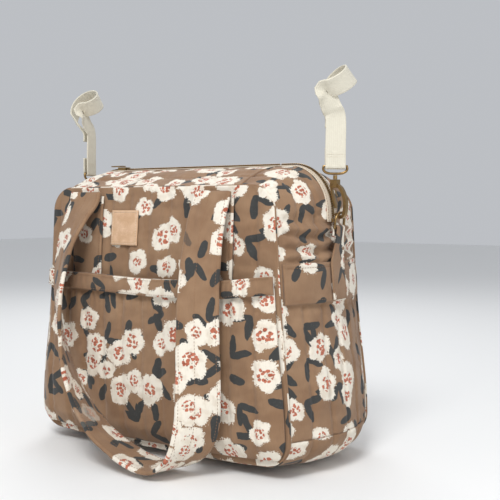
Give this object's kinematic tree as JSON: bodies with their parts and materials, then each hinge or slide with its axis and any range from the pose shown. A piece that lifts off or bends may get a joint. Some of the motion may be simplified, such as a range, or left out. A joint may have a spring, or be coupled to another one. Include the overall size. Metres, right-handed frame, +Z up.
{
  "type": "diaper bag",
  "caption": "Quilted cotton diaper bag with a zipped top, a front pocket, two carrying handles and clip-on straps that hang it from a stroller's push bar.",
  "frame": {"origin": "on the underside, at the middle of the base", "axes": "+X to the right seen from the front, +Y towards the back, +Z up; the front pocket faces -Y"},
  "size_m": [0.4409, 0.344, 0.4545],
  "materials": {
    "quilted_print": "matte printed cotton",
    "lining_cotton": "matte plain cotton",
    "stiffener": "matte",
    "zip_tape": "matte woven tape",
    "antique_brass": "satin, darkened",
    "label_leather": "smooth natural",
    "cream_webbing": "matte woven",
    "elastic": "matte"
  },
  "bodies": {
    "bag_shell": {"front_panel": "quilted_print", "back_panel": "quilted_print", "base_gusset": "quilted_print", "left_gusset": "quilted_print", "right_gusset": "quilted_print", "left_zip_tape": "zip_tape", "left_zip_teeth": "antique_brass", "right_zip_tape": "zip_tape", "right_zip_teeth": "antique_brass", "left_zip_stop": "antique_brass", "right_zip_stop": "antique_brass", "lining": "lining_cotton", "base_board": "stiffener", "inner_pocket": "lining_cotton", "front_pocket": "quilted_print", "pocket_hem": "quilted_print", "pocket_elastic": "elastic", "leather_label": "label_leather", "front_left_handle_strip": "quilted_print", "front_right_handle_strip": "quilted_print", "back_left_handle_strip": "quilted_print", "back_right_handle_strip": "quilted_print", "left_side_band": "quilted_print", "right_side_band": "quilted_print", "left_ring_tab": "quilted_print", "right_ring_tab": "quilted_print"},
    "front_handle": {"front_handle": "quilted_print"},
    "back_handle": {"back_handle": "quilted_print"},
    "front_flap": {"front_flap": "quilted_print", "front_zip_tape": "zip_tape", "front_zip_teeth": "antique_brass"},
    "back_flap": {"back_flap": "quilted_print", "back_zip_tape": "zip_tape", "back_zip_teeth": "antique_brass"},
    "zip_slider": {"zip_slider": "antique_brass"},
    "zip_pull": {"zip_pull": "antique_brass"},
    "right_ring": {"right_d_ring": "antique_brass"},
    "right_hook": {"right_hook_body": "antique_brass", "right_hook_pin": "antique_brass", "right_gate_spring": "antique_brass"},
    "right_gate": {"right_hook_gate": "antique_brass"},
    "right_swivel": {"right_swivel_stud": "antique_brass", "right_strap_ring": "antique_brass"},
    "right_strap": {"right_strap": "cream_webbing"},
    "left_ring": {"left_d_ring": "antique_brass"},
    "left_hook": {"left_hook_body": "antique_brass", "left_hook_pin": "antique_brass", "left_gate_spring": "antique_brass"},
    "left_gate": {"left_hook_gate": "antique_brass"},
    "left_swivel": {"left_swivel_stud": "antique_brass", "left_strap_ring": "antique_brass"},
    "left_strap": {"left_strap": "cream_webbing"}
  },
  "joints": [
    {"name": "front_handle_swing", "type": "hinge", "parent": "bag_shell", "child": "front_handle", "pos_m": [0, -0.0977, 0.3045], "axis": [-1, 0, 0], "range_deg": [0, 160]},
    {"name": "back_handle_swing", "type": "hinge", "parent": "bag_shell", "child": "back_handle", "pos_m": [0, 0.0977, 0.3045], "axis": [1, 0, 0], "range_deg": [0, 160]},
    {"name": "front_flap_open", "type": "hinge", "parent": "bag_shell", "child": "front_flap", "pos_m": [0, -0.085, 0.31085], "axis": [1, 0, 0], "range_deg": [0, 70]},
    {"name": "back_flap_open", "type": "hinge", "parent": "bag_shell", "child": "back_flap", "pos_m": [0, 0.085, 0.31085], "axis": [-1, 0, 0], "range_deg": [0, 70]},
    {"name": "zip_slide", "type": "slide", "parent": "bag_shell", "child": "zip_slider", "axis": [1, 0, 0], "range_m": [0, 0.259]},
    {"name": "zip_pull_flip", "type": "hinge", "parent": "zip_slider", "child": "zip_pull", "pos_m": [-0.1295, 0, 0.34175], "axis": [0, 1, 0], "range_deg": [0, 165]},
    {"name": "right_ring_tilt", "type": "hinge", "parent": "bag_shell", "child": "right_ring", "pos_m": [0.1985, 0, 0.263], "axis": [0, 1, 0], "range_deg": [0, 80]},
    {"name": "right_hook_tilt", "type": "hinge", "parent": "right_ring", "child": "right_hook", "pos_m": [0.201, 0, 0.2805], "axis": [0, 1, 0], "range_deg": [0, 50]},
    {"name": "right_gate_press", "type": "hinge", "parent": "right_hook", "child": "right_gate", "pos_m": [0.191, 0, 0.3125], "axis": [0, -1, 0], "range_deg": [0, 15], "stiffness_Nm_per_rad": 0.02},
    {"name": "right_swivel_turn", "type": "hinge", "parent": "right_hook", "child": "right_swivel", "pos_m": [0.1935, 0, 0.31855], "axis": [0, 0, 1], "continuous": true},
    {"name": "right_strap_tilt", "type": "hinge", "parent": "right_swivel", "child": "right_strap", "pos_m": [0.1935, 0, 0.33335], "axis": [0.809, 0.5878, 0], "range_deg": [-40, 40]},
    {"name": "left_ring_tilt", "type": "hinge", "parent": "bag_shell", "child": "left_ring", "pos_m": [-0.1985, 0, 0.263], "axis": [0, -1, 0], "range_deg": [0, 80]},
    {"name": "left_hook_tilt", "type": "hinge", "parent": "left_ring", "child": "left_hook", "pos_m": [-0.201, 0, 0.2805], "axis": [0, -1, 0], "range_deg": [0, 50]},
    {"name": "left_gate_press", "type": "hinge", "parent": "left_hook", "child": "left_gate", "pos_m": [-0.191, 0, 0.3125], "axis": [0, 1, 0], "range_deg": [0, 15], "stiffness_Nm_per_rad": 0.02},
    {"name": "left_swivel_turn", "type": "hinge", "parent": "left_hook", "child": "left_swivel", "pos_m": [-0.1935, 0, 0.31855], "axis": [0, 0, 1], "continuous": true},
    {"name": "left_strap_tilt", "type": "hinge", "parent": "left_swivel", "child": "left_strap", "pos_m": [-0.1935, 0, 0.33335], "axis": [-0.2588, 0.9659, 0], "range_deg": [-40, 40]}
  ]
}
